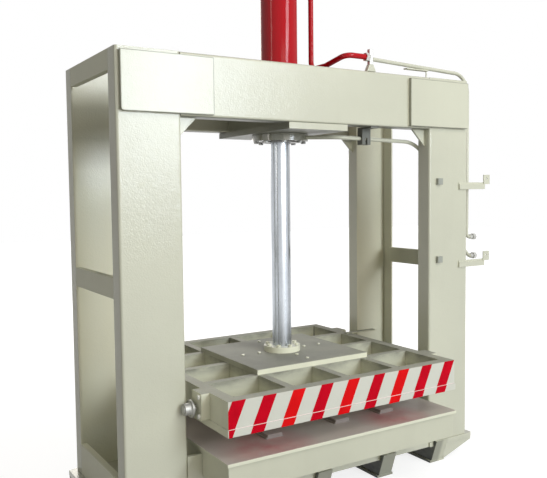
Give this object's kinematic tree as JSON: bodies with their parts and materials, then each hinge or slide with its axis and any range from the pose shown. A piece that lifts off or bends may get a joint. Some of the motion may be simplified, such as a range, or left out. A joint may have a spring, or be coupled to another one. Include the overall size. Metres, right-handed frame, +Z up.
{
  "type": "hydraulic press",
  "caption": "Portal hydraulic press with a rod-driven platen guided by rollers on folded plate posts, over a ribbed bed.",
  "frame": {"origin": "on the floor, on the cylinder's axis", "axes": "+X to the right of the press as seen from its front, +Y to its rear, +Z up"},
  "size_m": [2.21, 1.214, 3.172],
  "materials": {
    "frame_enamel": "glossy pale grey-beige enamel over folded and welded plate",
    "bed_enamel": "the same glossy enamel on the bed, dusty on top",
    "platen_enamel": "glossy pale enamel on the platen and its guide blocks",
    "crimson_film": "glossy crimson stripe film",
    "orange_film": "glossy orange-red stripe film",
    "roller_steel": "turned steel, slightly oiled",
    "bolt_steel": "plain steel fasteners",
    "rod_chrome": "polished chromed rod",
    "dark_steel": "turned steel with a thin oil film",
    "seal_rubber": "black seal rubber",
    "cylinder_enamel": "high-gloss red enamel",
    "line_enamel": "enamel sprayed over pipes and small brackets with the frame",
    "fitting_steel": "zinc-plated fittings",
    "clamp_enamel": "dark olive-grey enamel on the pipe clamp and square bolts"
  },
  "bodies": {
    "frame": {"post_front_left": "frame_enamel", "post_front_right": "frame_enamel", "post_rear_left": "frame_enamel", "post_rear_right": "frame_enamel", "column_ties_left": "frame_enamel", "column_ties_right": "frame_enamel", "crosshead_channels": "frame_enamel", "crosshead_ribs": "frame_enamel", "mounting_plate": "frame_enamel", "corner_covers": "frame_enamel", "crosshead_gussets": "frame_enamel", "feet": "frame_enamel", "foot_soles": "frame_enamel", "base_plates": "frame_enamel", "outrigger_gussets": "frame_enamel", "lower_beams": "frame_enamel", "cylinder_flange": "frame_enamel", "bed_top_plate": "bed_enamel", "bed_aprons": "bed_enamel", "bed_webs": "bed_enamel", "bed_rails": "bed_enamel", "cylinder_flange_bolts": "bolt_steel", "gland": "dark_steel", "rod_seals": "seal_rubber", "cylinder_barrel": "cylinder_enamel", "cylinder_end_cap": "cylinder_enamel", "pipe_red": "cylinder_enamel", "pipe_upper": "line_enamel", "pipe_lower": "line_enamel", "pipe_clip": "line_enamel", "line_block_stand": "line_enamel", "switch_brackets": "line_enamel", "switch_tabs": "line_enamel", "line_unions": "fitting_steel", "line_block": "fitting_steel", "pipe_hanger": "clamp_enamel", "post_square_bolts": "clamp_enamel"},
    "platen": {"platen_press_plate": "platen_enamel", "platen_end_rails": "platen_enamel", "platen_side_rails": "platen_enamel", "platen_ribs": "platen_enamel", "platen_centre_plate": "platen_enamel", "centre_plate_bolts": "platen_enamel", "hazard_stripes_crimson": "crimson_film", "hazard_stripes_orange": "orange_film", "guide_blocks": "platen_enamel", "roller_axles": "roller_steel", "guide_block_bolts": "bolt_steel", "striker_bar": "platen_enamel", "piston_rod": "rod_chrome", "rod_flange": "platen_enamel", "rod_flange_bolts": "platen_enamel", "piston": "dark_steel", "piston_seal": "seal_rubber", "piston_wear_ring": "seal_rubber", "piston_nut": "bolt_steel"},
    "guide_roller_front_left": {"guide_roller_front_left": "roller_steel"},
    "guide_roller_front_right": {"guide_roller_front_right": "roller_steel"},
    "guide_roller_rear_left": {"guide_roller_rear_left": "roller_steel"},
    "guide_roller_rear_right": {"guide_roller_rear_right": "roller_steel"}
  },
  "joints": [
    {"name": "platen_slide", "type": "slide", "parent": "frame", "child": "platen", "axis": [0, 0, 1], "range_m": [-0.08, 1]},
    {"name": "roller_spin_front_left", "type": "hinge", "parent": "platen", "child": "guide_roller_front_left", "pos_m": [-0.7235, -0.3764, 0.56], "axis": [1, 0, 0], "continuous": true},
    {"name": "roller_spin_front_right", "type": "hinge", "parent": "platen", "child": "guide_roller_front_right", "pos_m": [0.7235, -0.3764, 0.56], "axis": [1, 0, 0], "continuous": true},
    {"name": "roller_spin_rear_left", "type": "hinge", "parent": "platen", "child": "guide_roller_rear_left", "pos_m": [-0.7235, 0.3764, 0.56], "axis": [1, 0, 0], "continuous": true},
    {"name": "roller_spin_rear_right", "type": "hinge", "parent": "platen", "child": "guide_roller_rear_right", "pos_m": [0.7235, 0.3764, 0.56], "axis": [1, 0, 0], "continuous": true}
  ],
  "couplings": [
    {"joint": "roller_spin_front_left", "follows": "platen_slide", "rad_per_m": -38.462},
    {"joint": "roller_spin_front_right", "follows": "platen_slide", "rad_per_m": -38.462},
    {"joint": "roller_spin_rear_left", "follows": "platen_slide", "rad_per_m": 38.462},
    {"joint": "roller_spin_rear_right", "follows": "platen_slide", "rad_per_m": 38.462}
  ]
}
